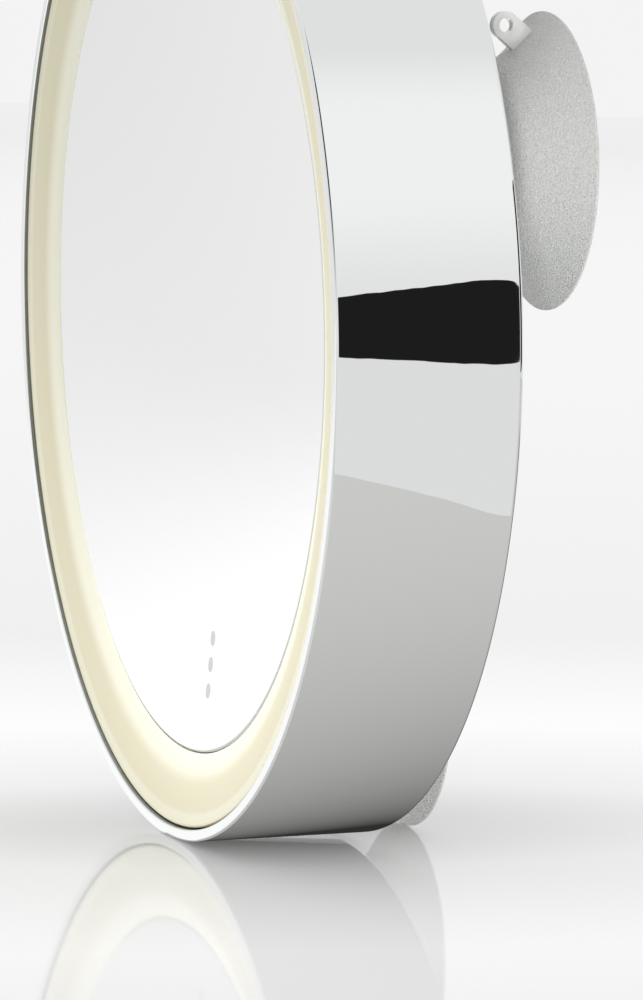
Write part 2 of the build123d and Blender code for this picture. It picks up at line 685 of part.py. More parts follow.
def power_button():
    """Round cap with a dished top, a flange that keeps it in, and a stem."""
    top = ThreePointArc((0, BUTTON_BACK + BUTTON_DISH), (BUTTON_R / 2, BUTTON_BACK + 0.3),
                        (BUTTON_R - 1.2, BUTTON_BACK))
    flange_r = BUTTON_R + BUTTON_FLANGE_W
    side = Polyline(
        (BUTTON_R - 1.2, BUTTON_BACK),
        (BUTTON_R - 0.5, BUTTON_BACK + 0.1),
        (BUTTON_R, BUTTON_BACK + 0.6),
        (BUTTON_R, BUTTON_FLANGE_BACK),
        (flange_r, BUTTON_FLANGE_BACK),
        (flange_r, BUTTON_FRONT),
        (BUTTON_STEM_R, BUTTON_FRONT),
        (BUTTON_STEM_R, BUTTON_FRONT + BUTTON_STEM_L),
        (0, BUTTON_FRONT + BUTTON_STEM_L),
        (0, BUTTON_BACK + BUTTON_DISH),
    )
    return spun([top, *side.edges()])


def button_bezel():
    """Trim ring on the cover with a sleeve that guides the button."""
    bore = BUTTON_R + RUNNING
    ring = tube(bore + BEZEL_W, bore, COVER_BACK - BEZEL_T, COVER_BACK)
    ring = chamfer(circles(ring, bore + BEZEL_W).group_by(Axis.Z)[0], BEZEL_T / 2)
    return ring + tube(bore + BEZEL_SLEEVE_T, bore, COVER_BACK, BEZEL_SLEEVE_END)


def switch_plunger():
    """Pin of the switch, pushed in by the button's stem."""
    return cylinder(PLUNGER_R, BUTTON_FRONT + BUTTON_STEM_L, SWITCH_BACK + BUTTON_TRAVEL)


def switch_body():
    """Latching switch with a well for its plunger."""
    body = block(SWITCH_W, SWITCH_W, SWITCH_BACK, SWITCH_FRONT)
    well_end = SWITCH_BACK + 2 * BUTTON_TRAVEL + RUNNING
    return body - cylinder(PLUNGER_R + RUNNING, SWITCH_BACK, well_end)


def switch_board():
    """Small board that carries the switch on the cover's two posts."""
    board = block(SWITCH_BOARD_W, SWITCH_BOARD_L, SWITCH_FRONT, SWITCH_FRONT + BOARD_T)
    for at in switch_posts():
        board -= cylinder(SMALL_SCREW_R, SWITCH_FRONT, SWITCH_FRONT + BOARD_T, at)
    return board


def button_spring():
    """Return spring between the switch and the button."""
    one = coil(SWITCH_SPRING_R, SWITCH_SPRING_R, SWITCH_SPRING_PITCH, SWITCH_SPRING_L,
               SWITCH_SPRING_WIRE_R)
    return Pos(0, 0, BUTTON_FRONT) * one


# Driver and wiring


def driver_board():
    """LED driver's circuit board."""
    board = block(DRIVER_W, DRIVER_L, DRIVER_BACK, DRIVER_FRONT, (DRIVER_X, DRIVER_Y))
    for at in driver_posts():
        board -= cylinder(SMALL_SCREW_R, DRIVER_BACK, DRIVER_FRONT, at)
    return board


def driver_parts():
    """Inductor, driver chip, capacitor and plug on the driver board."""
    parts = []
    for (w, l, h), (x, y) in zip(CHIP_SIZES, CHIP_PLACES):
        at = (DRIVER_X + x, DRIVER_Y + y)
        parts.append(block(w, l, DRIVER_FRONT, DRIVER_FRONT + h, at))
    return parts


def small_screws():
    """Screws of the driver board and of the switch board, entered from the front."""
    one = screw(SMALL_SCREW_R, SMALL_SCREW_BITE, SMALL_SCREW_HEAD_R, SMALL_SCREW_HEAD_H)
    turned = Rot(180, 0, 0) * one
    screws = [Pos(x, y, DRIVER_FRONT) * turned for x, y in driver_posts()]
    for x, y in switch_posts():
        screws.append(switch_frame() * Pos(x, y, SWITCH_FRONT + BOARD_T) * turned)
    return screws


def led_wires():
    """Pair from the driver board out to the LED board, through the plate's flange."""
    run_z = DRIVER_FRONT + 8
    wires = []
    for i, (x, y) in enumerate(led_wire_places()):
        start_y = DRIVER_Y + DRIVER_L / 2 - 6 - WIRE_GAP * (1 - i)
        start_x = DRIVER_X + DRIVER_W / 2 - 3
        level = run_z - 2 * i
        wires.append(wire([(start_x, start_y, DRIVER_FRONT), (start_x, start_y, level),
                           (x, y, level), (x, y, FLANGE_FRONT)]))
    return wires


def switch_wires():
    """Pair from the driver board round below the bay to the edge of the switch board."""
    level = SWITCH_FRONT + BOARD_T / 2
    board_edge = -SWITCH_BOARD_W / 2
    wires = []
    for i in (0, 1):
        start_x = DRIVER_X - SWITCH_WIRE_INSET + WIRE_GAP * i
        start_y = DRIVER_Y - DRIVER_L / 2 + DRIVER_POST_INSET
        low_y = -DOOR_L / 2 - SWITCH_WIRE_DROP - WIRE_GAP * i
        side = WIRE_GAP * (i - 0.5)
        goal = (switch_frame() * Pos(board_edge, side, 0)).position
        turn = (switch_frame() * Pos(board_edge - SWITCH_WIRE_LEAD, side, 0)).position
        wires.append(wire([
            (start_x, start_y, DRIVER_FRONT),
            (start_x, start_y, level),
            (start_x, low_y, level),
            (turn.X + SWITCH_WIRE_LEAD, low_y, level),
            (turn.X, turn.Y, level),
            (goal.X, goal.Y, level),
        ]))
    return wires


def write(name, shape):
    """Turn a solid or a list of them into the row's frame and write it."""
    solids = shape if isinstance(shape, list) else [shape]
    turned = [Rot(90, 0, 0) * solid for solid in solids]
    whole = turned[0] if len(turned) == 1 else Compound(children=turned)
    export_step(whole, f"parts/{name}.step")


def main():
    os.makedirs("parts", exist_ok=True)
    for make in (
        drum_housing,
        light_diffuser,
        mirror_glass,
        glass_pad,
        carrier_plate,
        led_board,
        leds,
        led_board_screws,
        rear_cover,
        rear_gasket,
        cover_screws,
        battery_springs,
        battery_contacts,
        battery_door,
        door_gasket,
        door_hinge_pin,
        cup_bushes,
        driver_board,
        driver_parts,
        small_screws,
        led_wires,
        switch_wires,
    ):
        write(make.__name__, make())
    for make in (power_button, button_bezel, switch_plunger, switch_body, switch_board, button_spring):
        write(make.__name__, switch_frame() * make())
    for i, (x, up) in enumerate(cell_places()):
        write(f"battery_{i + 1}", cell(x, up))
    for i in range(len(CUP_ANGLES)):
        for make in (suction_cup, cup_stud, stud_clip):
            write(f"{make.__name__}_{i + 1}", cup_frame(i) * make())
    print("drum depth", round(DRUM_DEPTH, 2), "lip height", round(LIP, 2), "glass radius", GLASS_R)


main()
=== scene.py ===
"""Lit magnifying shaving mirror: a chrome drum on three suction cups, standing on a glossy floor."""

import json
from math import acos, asin, atan, atan2, cos, hypot, pi, radians, sin, sqrt, tan

import bmesh
import bpy
from mathutils import Matrix, Vector

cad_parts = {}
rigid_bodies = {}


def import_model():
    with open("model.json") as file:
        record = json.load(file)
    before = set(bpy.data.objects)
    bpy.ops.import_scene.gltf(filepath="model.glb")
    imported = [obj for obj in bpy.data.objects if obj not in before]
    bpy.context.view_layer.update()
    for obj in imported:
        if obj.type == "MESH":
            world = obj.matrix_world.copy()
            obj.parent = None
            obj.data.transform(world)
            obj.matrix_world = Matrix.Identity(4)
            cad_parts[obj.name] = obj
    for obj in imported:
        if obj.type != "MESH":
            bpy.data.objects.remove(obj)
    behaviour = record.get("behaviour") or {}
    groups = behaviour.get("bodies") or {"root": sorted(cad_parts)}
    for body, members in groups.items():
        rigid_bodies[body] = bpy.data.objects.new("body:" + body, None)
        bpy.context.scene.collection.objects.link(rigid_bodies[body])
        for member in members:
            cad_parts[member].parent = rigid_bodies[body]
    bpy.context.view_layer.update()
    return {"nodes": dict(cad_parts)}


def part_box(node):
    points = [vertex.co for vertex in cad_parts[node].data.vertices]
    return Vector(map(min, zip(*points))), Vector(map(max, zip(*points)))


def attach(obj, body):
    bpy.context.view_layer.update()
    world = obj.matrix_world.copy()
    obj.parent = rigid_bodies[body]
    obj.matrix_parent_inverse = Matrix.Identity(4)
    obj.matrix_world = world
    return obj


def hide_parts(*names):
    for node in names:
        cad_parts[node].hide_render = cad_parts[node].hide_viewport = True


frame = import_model()

bl_info = {
    "name": "Lit shaving mirror",
    "version": (1, 0, 0),
    "blender": (4, 5, 0),
    "location": "3D View > Sidebar > Shaving mirror",
    "description": "Chrome drum mirror with a frosted light ring and three suction cups",
    "category": "Object",
}

MM = 0.001
NODES = frame["nodes"]
MAIN = "mirror_body"
CUPS = ("suction_cup_1", "suction_cup_2", "suction_cup_3")

DRUM_LOW, DRUM_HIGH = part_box("drum_housing")
RING_LOW, RING_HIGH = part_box("light_diffuser")
GLASS_LOW, GLASS_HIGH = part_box("mirror_glass")
CUP_LOW, CUP_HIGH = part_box(CUPS[0])
STUD_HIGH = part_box("cup_stud_1")[1]

LIP_Y = DRUM_LOW.y  # the drum's flat front
REAR_Y = DRUM_HIGH.y

# Sizes that the CAD inside the drum and the cups sets
LIGHT_DEPTH = 10.8 * MM  # lip to the face that the LED board lies on
PLATE_T = 1.8 * MM  # plate behind the glass, and the seat that the ring lens has on it
STUD_R = 3.6 * MM
STUD_ROOT_R = 5.2 * MM  # disc that holds a stud in its cup
STUD_ROOT_T = 1.3 * MM
TAB_LEAN = 40  # degrees from a cup's axis to its tab

# The camera: where it stands, seen from the middle of the lip, and how it is aimed from there
CAMERA_SIDE, CAMERA_RISE, CAMERA_AWAY = 72.747, 3.522, 1.0782  # degrees right, degrees up, metres
AIM_LEFT, AIM_DOWN, CAMERA_ROLL = 1.576, 1.876, -0.347  # degrees
CAMERA_LENS = 204.18  # millimetres, on a 36 mm sensor

# The floor falls a little towards the wall plane, and the drum's foot stands on it
FOOT_Z, FOOT_Y, FLOOR_SLOPE = -100, -51, -0.031  # millimetres, millimetres, rise per millimetre


def length(name, about, default):
    """A size in metres for a property group."""
    return bpy.props.FloatProperty(
        name=name, description=about, default=default, min=0.0, max=1.0, unit="LENGTH", precision=5
    )


def colour(name, about, code):
    """A colour for a property group, from an sRGB hex code."""
    return bpy.props.FloatVectorProperty(
        name=name, description=about, default=linear(code), subtype="COLOR", size=4, min=0.0, max=1.0
    )


def linear(code):
    """An sRGB hex code as linear red, green, blue and alpha."""
    parts = [int(code[i : i + 2], 16) / 255 for i in (1, 3, 5)]
    return (*[c / 12.92 if c <= 0.04045 else ((c + 0.055) / 1.055) ** 2.4 for c in parts], 1.0)


class MirrorSizes(bpy.types.PropertyGroup):
    """Sizes of the pieces that are modelled here."""

    wall: length("Drum wall", "Thickness of the drum's side", 2.25 * MM)
    edge_round: length("Lip round", "Radius on the lip's outer corner", 0.5 * MM)
    rear_round: length("Rear round", "Radius on the drum's rear outer corner", 0.85 * MM)
    lip_break: length("Lip break", "Radius on the lip's inner corner", 0.3 * MM)
    shoulder: length("Shoulder width", "Ring inside the drum that the plate meets", 2.25 * MM)
    shoulder_t: length("Shoulder thickness", "Depth of the ring inside the drum", 2.0 * MM)
    ring_w: length("Light ring width", "Frosted ring from its outer to its inner edge", 13.95 * MM)
    ring_t: length("Light ring thickness", "Wall of the frosted ring", 2.0 * MM)
    ring_bulge: length("Light ring bulge", "Rise of the ring's face over its chord", 0.35 * MM)
    ring_break: length("Light ring break", "Radius on the ring's edges", 0.25 * MM)
    glass_curve: length("Glass curve", "Radius of the concave glass", 625 * MM)
    glass_t: length("Glass thickness", "Thickness of the glass", 3.0 * MM)
    glass_bevel: length("Glass bevel", "Ground edge round the glass", 0.4 * MM)
    cup_lip_t: length("Cup lip thickness", "Edge of a suction cup's lip", 0.5 * MM)
    cup_lip_flat: length("Cup lip flat", "Flat of the lip that meets the wall", 1.4 * MM)
    cup_hollow: length("Cup hollow", "Depth of a cup's hollow", 8.0 * MM)
    cup_neck_r: length("Cup neck radius", "Flat top of a cup", 9.0 * MM)
    cup_neck_h: length("Cup neck height", "Wall to the flat top of a cup", 13.2 * MM)
    cup_shoulder_r: length("Cup shoulder radius", "Where the flank turns into the crown", 18.0 * MM)
    cup_shoulder_h: length("Cup shoulder height", "Wall to the shoulder", 9.8 * MM)
    cup_hollow_side: length("Cup flank", "Depth of the flank's curve under its chord", 0.9 * MM)
    tab_w: length("Tab width", "Width of a cup's pull tab", 5.0 * MM)
    tab_t: length("Tab thickness", "Thickness of a cup's pull tab", 1.9 * MM)
    tab_reach: length("Tab reach", "Flank to the centre of the tab's hole", 4.2 * MM)
    tab_root: length("Tab root", "Part of the tab inside the flank", 1.2 * MM)
    tab_hole_r: length("Tab hole radius", "Hole in the pull tab", 1.3 * MM)
    tab_break: length("Tab break", "Bevel round the tab", 0.3 * MM)


class MirrorColours(bpy.types.PropertyGroup):
    """Colours of the finishes that show most."""

    chrome: colour("Chrome", "Polished chrome plate", "#e9eaea")
    lens: colour("Light ring", "Frosted acrylic, over its middle", "#ddd7b9")
    # Painted light: the lens drawn paler towards its inner edge
    lens_painted_light: colour("Light ring inner edge", "Frosted acrylic, towards its inner edge", "#f2f0dc")
    lens_rim: colour("Light ring rim", "Frosted acrylic, at its outer rim", "#c9bf9a")
    silver: colour("Silvering", "Silvered glass", "#f1f2f1")
    pvc: colour("Suction cups", "Grained translucent PVC", "#e4e5e2")
    tab: colour("Pull tabs", "Glossy translucent PVC", "#f8f9f7")
    floor: colour("Floor", "Glossy white board", "#cbcbcb")


# Mesh making


def deselect():
    """Leave nothing selected, in object mode."""
    if bpy.context.object and bpy.context.object.mode != "OBJECT":
        bpy.ops.object.mode_set(mode="OBJECT")
    bpy.ops.object.select_all(action="DESELECT")


def apply_modifier(kind, **settings):
    """Put a modifier on the active piece and apply it."""
    piece = bpy.context.object
    modifier = piece.modifiers.new(kind.title(), kind)
    for name, value in settings.items():
        setattr(modifier, name, value)
    bpy.ops.object.modifier_apply(modifier=modifier.name)


def place_in_mesh(angle=30):
    """Put the active piece's place in its mesh and shade it smooth up to an angle."""
    bpy.ops.object.mode_set(mode="OBJECT")
    bpy.ops.object.transform_apply(location=True, rotation=True, scale=True)
    bpy.ops.object.shade_smooth_by_angle(angle=radians(angle))
    return bpy.context.object


def arc_points(start, end, bulge, count):
    """Points of the arc from start to end, whose middle stands bulge to the left of its chord."""
    chord = Vector(end) - Vector(start)
    across = Vector((-chord.y, chord.x)).normalized()
    if abs(bulge) < 1e-9:
        return [tuple(Vector(start)), tuple(Vector(end))]
    half = chord.length / 2
    radius = (half**2 + bulge**2) / (2 * abs(bulge))
    centre = (Vector(start) + Vector(end)) / 2 + across * (bulge - (radius if bulge > 0 else -radius))
    first = atan2(start[1] - centre.y, start[0] - centre.x)
    turn = 2 * asin(min(1.0, half / radius)) * (-1 if bulge > 0 else 1)
    angles = [first + turn * i / count for i in range(count + 1)]
    return [(centre.x + radius * cos(a), centre.y + radius * sin(a)) for a in angles]


def rounded(points, radii, count=5):
    """A closed outline whose corners have a radius each, 0 for a sharp one."""
    made = []
    for i, (x, y) in enumerate(points):
        here = Vector((x, y))
        before = (Vector(points[i - 1]) - here).normalized()
        after = (Vector(points[(i + 1) % len(points)]) - here).normalized()
        half = acos(max(-1.0, min(1.0, before.dot(after)))) / 2
        if not radii[i]:
            made.append((x, y))
            continue
        run = radii[i] * cos(half) / sin(half)
        start, end = here + before * run, here + after * run
        rise = radii[i] * (1 - sin(half))
        side = 1 if (end - start).cross(here - start) > 0 else -1
        made += arc_points(tuple(start), tuple(end), rise * side, count)
    return made


def turned(outline, centre=(0.0, 0.0), steps=256):
    """Turn an outline of radius and height above the wall about a line along Y, as on a lathe.

    An outline that starts and ends on the line is left open there.
    """
    deselect()
    closed = outline[0][0] + outline[-1][0] > 0
    points = [Vector((centre[0] + r, -h, centre[1])) for r, h in outline]
    bpy.ops.mesh.primitive_plane_add(size=MM, location=points[0])
    bpy.ops.object.mode_set(mode="EDIT")
    bpy.ops.mesh.merge(type="CENTER")
    route = [*points[1:], points[0]] if closed else points[1:]
    here = points[0]
    for there in route:
        bpy.ops.mesh.extrude_vertices_move(TRANSFORM_OT_translate={"value": there - here})
        here = there
    bpy.ops.mesh.select_all(action="SELECT")
    bpy.ops.mesh.remove_doubles(threshold=1e-6)
    bpy.ops.mesh.spin(steps=steps, angle=2 * pi, center=(centre[0], 0, centre[1]), axis=(0, 1, 0))
    bpy.ops.mesh.select_all(action="SELECT")
    bpy.ops.mesh.remove_doubles(threshold=2e-6)
    bpy.ops.mesh.normals_make_consistent(inside=False)
    piece = place_in_mesh()
    apply_modifier("WEIGHTED_NORMAL", keep_sharp=True, weight=80)
    return piece


def hand_over(piece, name, body, slot, materials, *nodes):
    """Name a piece, give it its finish, and let it ride on a body in place of CAD nodes."""
    piece.name = piece.data.name = name
    piece.data.materials.clear()
    for material in materials:
        piece.data.materials.append(material)
    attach(piece, body)
    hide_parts(*nodes)


# Materials


def add_node(tree, kind, inputs=(), **settings):
    """One node, with its settings, and with each input set to a value or linked to a socket."""
    made = tree.nodes.new(kind)
    for name, value in settings.items():
        setattr(made, name, value)
    for name, value in dict(inputs).items():
        if isinstance(value, bpy.types.NodeSocket):
            tree.links.new(value, made.inputs[name])
        else:
            made.inputs[name].default_value = value
    return made


def per(size_mm):
    """Scale of a pattern whose cells have a real size in millimetres."""
    return 1000 / size_mm


def new_material(name, **surface):
    """A material with one Principled surface, and its Object coordinates."""
    material = bpy.data.materials.new(name)
    material.use_nodes = True
    tree = material.node_tree
    tree.nodes.clear()
    named = {key.replace("_", " "): value for key, value in surface.items()}
    shader = add_node(tree, "ShaderNodeBsdfPrincipled", named)
    add_node(tree, "ShaderNodeOutputMaterial", {"Surface": shader.outputs[0]})
    place = add_node(tree, "ShaderNodeTexCoord").outputs["Object"]
    return material, tree, shader, place


def mix_colours(tree, factor, first, second):
    """Socket of a colour between two, each a value or a socket."""
    values = {0: factor, 6: first, 7: second}
    return add_node(tree, "ShaderNodeMix", values, data_type="RGBA").outputs[2]


def grained(name, shade, other, grain_mm, roughness, bump_mm, voronoi=False, **surface):
    """A material whose grain of one real size varies its colour, its roughness and its height."""
    material, tree, shader, place = new_material(name, **surface)
    if voronoi:
        grain = add_node(tree, "ShaderNodeTexVoronoi", {"Vector": place, "Scale": per(grain_mm)})
        height = grain.outputs["Distance"]
    else:
        values = {"Vector": place, "Scale": per(grain_mm), "Detail": 3.0}
        height = add_node(tree, "ShaderNodeTexNoise", values).outputs[0]
    blend = mix_colours(tree, height, linear(shade), linear(other))
    tree.links.new(blend, shader.inputs["Base Color"])
    spread = {"Value": height, "To Min": roughness[0], "To Max": roughness[1]}
    rough = add_node(tree, "ShaderNodeMapRange", spread)
    tree.links.new(rough.outputs[0], shader.inputs["Roughness"])
    bumps = {"Height": height, "Distance": bump_mm * MM, "Strength": 1.0}
    bump = add_node(tree, "ShaderNodeBump", bumps)
    tree.links.new(bump.outputs[0], shader.inputs["Normal"])
    return material


def chrome_material(name, tint, wave_mm=0.012):
    """Polished chrome plate.

    Pressed metal is never quite even, so the edges of what it mirrors waver a little.
    A faint haze left by the polishing wheel takes the hardness off the lights in it.
    """
    material, tree, shader, place = new_material(name, Base_Color=tint, Metallic=1.0)
    haze = add_node(tree, "ShaderNodeTexNoise", {"Vector": place, "Scale": per(9), "Detail": 5.0})
    rough = add_node(
        tree, "ShaderNodeMapRange", {"Value": haze.outputs[0], "To Min": 0.004, "To Max": 0.016}
    )
    tree.links.new(rough.outputs[0], shader.inputs["Roughness"])
    wave = add_node(tree, "ShaderNodeTexNoise", {"Vector": place, "Scale": per(11), "Detail": 2.0})
    bump = add_node(tree, "ShaderNodeBump", {"Height": wave.outputs[0], "Distance": wave_mm * MM})
    tree.links.new(bump.outputs[0], shader.inputs["Normal"])
    return material


def silvered_material(tint):
    """Silvered float glass.

    A nearly perfect mirror, a touch green, with the faintest wipe marks in its gloss.
    """
    material, tree, shader, place = new_material("silvered_float_glass", Base_Color=tint, Metallic=1.0)
    wipes = add_node(tree, "ShaderNodeMapping", {"Vector": place, "Scale": (1.0, 1.0, 0.25)})
    noise = add_node(
        tree, "ShaderNodeTexNoise", {"Vector": wipes.outputs[0], "Scale": per(18), "Detail": 6.0}
    )
    rough = add_node(
        tree, "ShaderNodeMapRange", {"Value": noise.outputs[0], "To Min": 0.0, "To Max": 0.03}
    )
    # A plain mark of three etched dots, one above the other, near the bottom
    flat = add_node(tree, "ShaderNodeVectorMath", {0: place, 1: (1.0, 0.0, 1.0)}, operation="MULTIPLY")
    etched = rough.outputs[0]
    shade = tint
    dot_x, dot_z, dot_step, dot_r, dot_core_r = 9.5 * MM, -66 * MM, 5 * MM, 1.55 * MM, 1.4 * MM
    for i in (-1, 0, 1):
        centre = (dot_x, 0.0, dot_z + dot_step * i)
        gap = add_node(
            tree, "ShaderNodeVectorMath", {0: flat.outputs[0], 1: centre}, operation="DISTANCE"
        )
        values = {"Value": gap.outputs["Value"], "From Min": dot_r, "From Max": dot_core_r}
        dot = add_node(tree, "ShaderNodeMapRange", values).outputs[0]
        shade = mix_colours(tree, dot, shade, linear("#d5d7d6"))
        frost = add_node(tree, "ShaderNodeMath", {0: dot, 1: 0.4}, operation="MULTIPLY").outputs[0]
        etched = add_node(tree, "ShaderNodeMath", {0: etched, 1: frost}, operation="ADD").outputs[0]
    tree.links.new(shade, shader.inputs["Base Color"])
    tree.links.new(etched, shader.inputs["Roughness"])
    return material


def lens_material(middle, edge, rim):
    """Sand-blasted opal acrylic.

    Painted light: the lens is drawn paler towards its inner edge than the warm middle, and a narrow pale
    line of painted light runs inside its outer rim. The blasting leaves a matt skin.
    """
    material, tree, shader, place = new_material(
        "frosted_opal_acrylic",
        IOR=1.49,
        Specular_IOR_Level=0.8,
        Subsurface_Weight=0.2,
        Subsurface_Radius=(1.0, 0.9, 0.6),
        Subsurface_Scale=1.0 * MM,
    )
    flat = add_node(tree, "ShaderNodeVectorMath", {0: place, 1: (1.0, 0.0, 1.0)}, operation="MULTIPLY")
    radius = add_node(tree, "ShaderNodeVectorMath", {0: flat.outputs[0]}, operation="LENGTH")
    outer = RING_HIGH.x
    shade = middle
    # Distances in from the rim over which each tone gives way to the next; the paler tones are painted
    # light
    for start, end, tone in ((11.4, 7.6, None), (3.2, 2.2, edge), (0.8, 0.3, rim)):
        values = {
            "Value": radius.outputs["Value"],
            "From Min": outer - start * MM,
            "From Max": outer - end * MM,
        }
        run = add_node(tree, "ShaderNodeMapRange", values, interpolation_type="SMOOTHSTEP").outputs[0]
        if tone is None:
            shade = mix_colours(tree, run, edge, middle)
        else:
            part = add_node(tree, "ShaderNodeMath", {0: run, 1: 0.5}, operation="MULTIPLY").outputs[0]
            shade = mix_colours(tree, part, shade, tone)
    tree.links.new(shade, shader.inputs["Base Color"])
    grit = add_node(tree, "ShaderNodeTexNoise", {"Vector": place, "Scale": per(0.25), "Detail": 2.0})
    rough = add_node(
        tree, "ShaderNodeMapRange", {"Value": grit.outputs[0], "To Min": 0.38, "To Max": 0.52}
    )
    tree.links.new(rough.outputs[0], shader.inputs["Roughness"])
    bump = add_node(tree, "ShaderNodeBump", {"Height": grit.outputs[0], "Distance": 0.015 * MM})
    tree.links.new(bump.outputs[0], shader.inputs["Normal"])
    return material


def pvc_material(name, tint, grain):
    """Translucent plasticised PVC.

    The outside of a cup is cast against a blasted mould, and its grain sparkles as it turns.
    The tab and the hollow come off polished steel, and shine.
    The grain is drawn at up to 0.45 mm, coarser than the real one, so that it shows.
    """
    material, tree, shader, place = new_material(
        name,
        IOR=1.53,
        Subsurface_Weight=0.1 if grain else 0.3,
        Subsurface_Radius=(1.0, 1.0, 0.95),
        Subsurface_Scale=2.0 * MM,
        Transmission_Weight=0.05 if grain else 0.3,
        Specular_IOR_Level=0.25,
    )
    pits = add_node(tree, "ShaderNodeTexVoronoi", {"Vector": place, "Scale": per(0.45)})
    clouds = add_node(tree, "ShaderNodeTexNoise", {"Vector": place, "Scale": per(6), "Detail": 4.0})
    fine = add_node(tree, "ShaderNodeTexNoise", {"Vector": place, "Scale": per(0.22), "Detail": 3.0})
    dark = tuple(c * (0.72 if grain else 0.93) for c in tint[:3]) + (1.0,)
    factor = fine.outputs[0] if grain else clouds.outputs[0]
    spread = add_node(
        tree, "ShaderNodeMapRange", {"Value": factor, "From Min": 0.35, "From Max": 0.65}
    )
    tree.links.new(mix_colours(tree, spread.outputs[0], dark, tint), shader.inputs["Base Color"])
    low, high = (0.28, 0.5) if grain else (0.08, 0.16)
    rough = add_node(
        tree, "ShaderNodeMapRange", {"Value": clouds.outputs[0], "To Min": low, "To Max": high}
    )
    tree.links.new(rough.outputs[0], shader.inputs["Roughness"])
    if grain:
        total = add_node(
            tree, "ShaderNodeMath", {0: pits.outputs["Distance"], 1: fine.outputs[0]}, operation="ADD"
        )
        bump = add_node(tree, "ShaderNodeBump", {"Height": total.outputs[0], "Distance": 0.18 * MM})
        tree.links.new(bump.outputs[0], shader.inputs["Normal"])
    return material


def jacket_material(name, up, low, high):
    """Shrink sleeve of a dry cell: a dark body, a bright band at its positive end, bare ends."""
    material, tree, shader, place = new_material(name, Roughness=0.25, IOR=1.5)
    height = add_node(tree, "ShaderNodeSeparateXYZ", {0: place}).outputs["Z"]
    start, end = (low, high) if up else (high, low)
    run = add_node(
        tree, "ShaderNodeMapRange", {"Value": height, "From Min": start, "From Max": end}
    ).outputs[0]
    band = add_node(tree, "ShaderNodeMath", {0: run, 1: 0.68}, operation="GREATER_THAN").outputs[0]
    body = mix_colours(tree, band, linear("#26302f"), linear("#b98a4a"))
    cap = add_node(tree, "ShaderNodeMath", {0: run, 1: 0.965}, operation="GREATER_THAN").outputs[0]
    tree.links.new(mix_colours(tree, cap, body, linear("#c9cbcc")), shader.inputs["Base Color"])
    tree.links.new(cap, shader.inputs["Metallic"])
    return material


def board_material():
    """Solder mask on glass-fibre board: dark green lacquer over slightly raised copper tracks."""
    material, tree, shader, place = new_material("green_solder_mask", Roughness=0.3, IOR=1.5)
    tracks = add_node(
        tree,
        "ShaderNodeTexBrick",
        {"Vector": place, "Scale": 1.0, "Brick Width": 5 * MM, "Row Height": 1.6 * MM,
         "Mortar Size": 0.25 * MM},
    )
    tree.links.new(
        mix_colours(tree, tracks.outputs["Fac"], linear("#0f3d24"), linear("#2c6b3b")),
        shader.inputs["Base Color"],
    )
    bump = add_node(tree, "ShaderNodeBump", {"Height": tracks.outputs["Fac"], "Distance": 0.03 * MM})
    tree.links.new(bump.outputs[0], shader.inputs["Normal"])
    return material


def led_material():
    """Ceramic LED package: white all over, with yellow phosphor in its well."""
    material, tree, shader, place = new_material("white_ceramic_and_phosphor", Roughness=0.4)
    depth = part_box("leds")[0].y + 0.3 * MM
    y = add_node(tree, "ShaderNodeSeparateXYZ", {0: place}).outputs["Y"]
    facing = add_node(tree, "ShaderNodeNewGeometry").outputs["Normal"]
    front = add_node(tree, "ShaderNodeSeparateXYZ", {0: facing}).outputs["Y"]
    deep = add_node(tree, "ShaderNodeMath", {0: y, 1: depth}, operation="GREATER_THAN").outputs[0]
    ahead = add_node(tree, "ShaderNodeMath", {0: front, 1: -0.9}, operation="LESS_THAN").outputs[0]
    well = add_node(tree, "ShaderNodeMath", {0: deep, 1: ahead}, operation="MULTIPLY").outputs[0]
    tree.links.new(
        mix_colours(tree, well, linear("#f2f2ee"), linear("#e8c93a")), shader.inputs["Base Color"]
    )
    return material


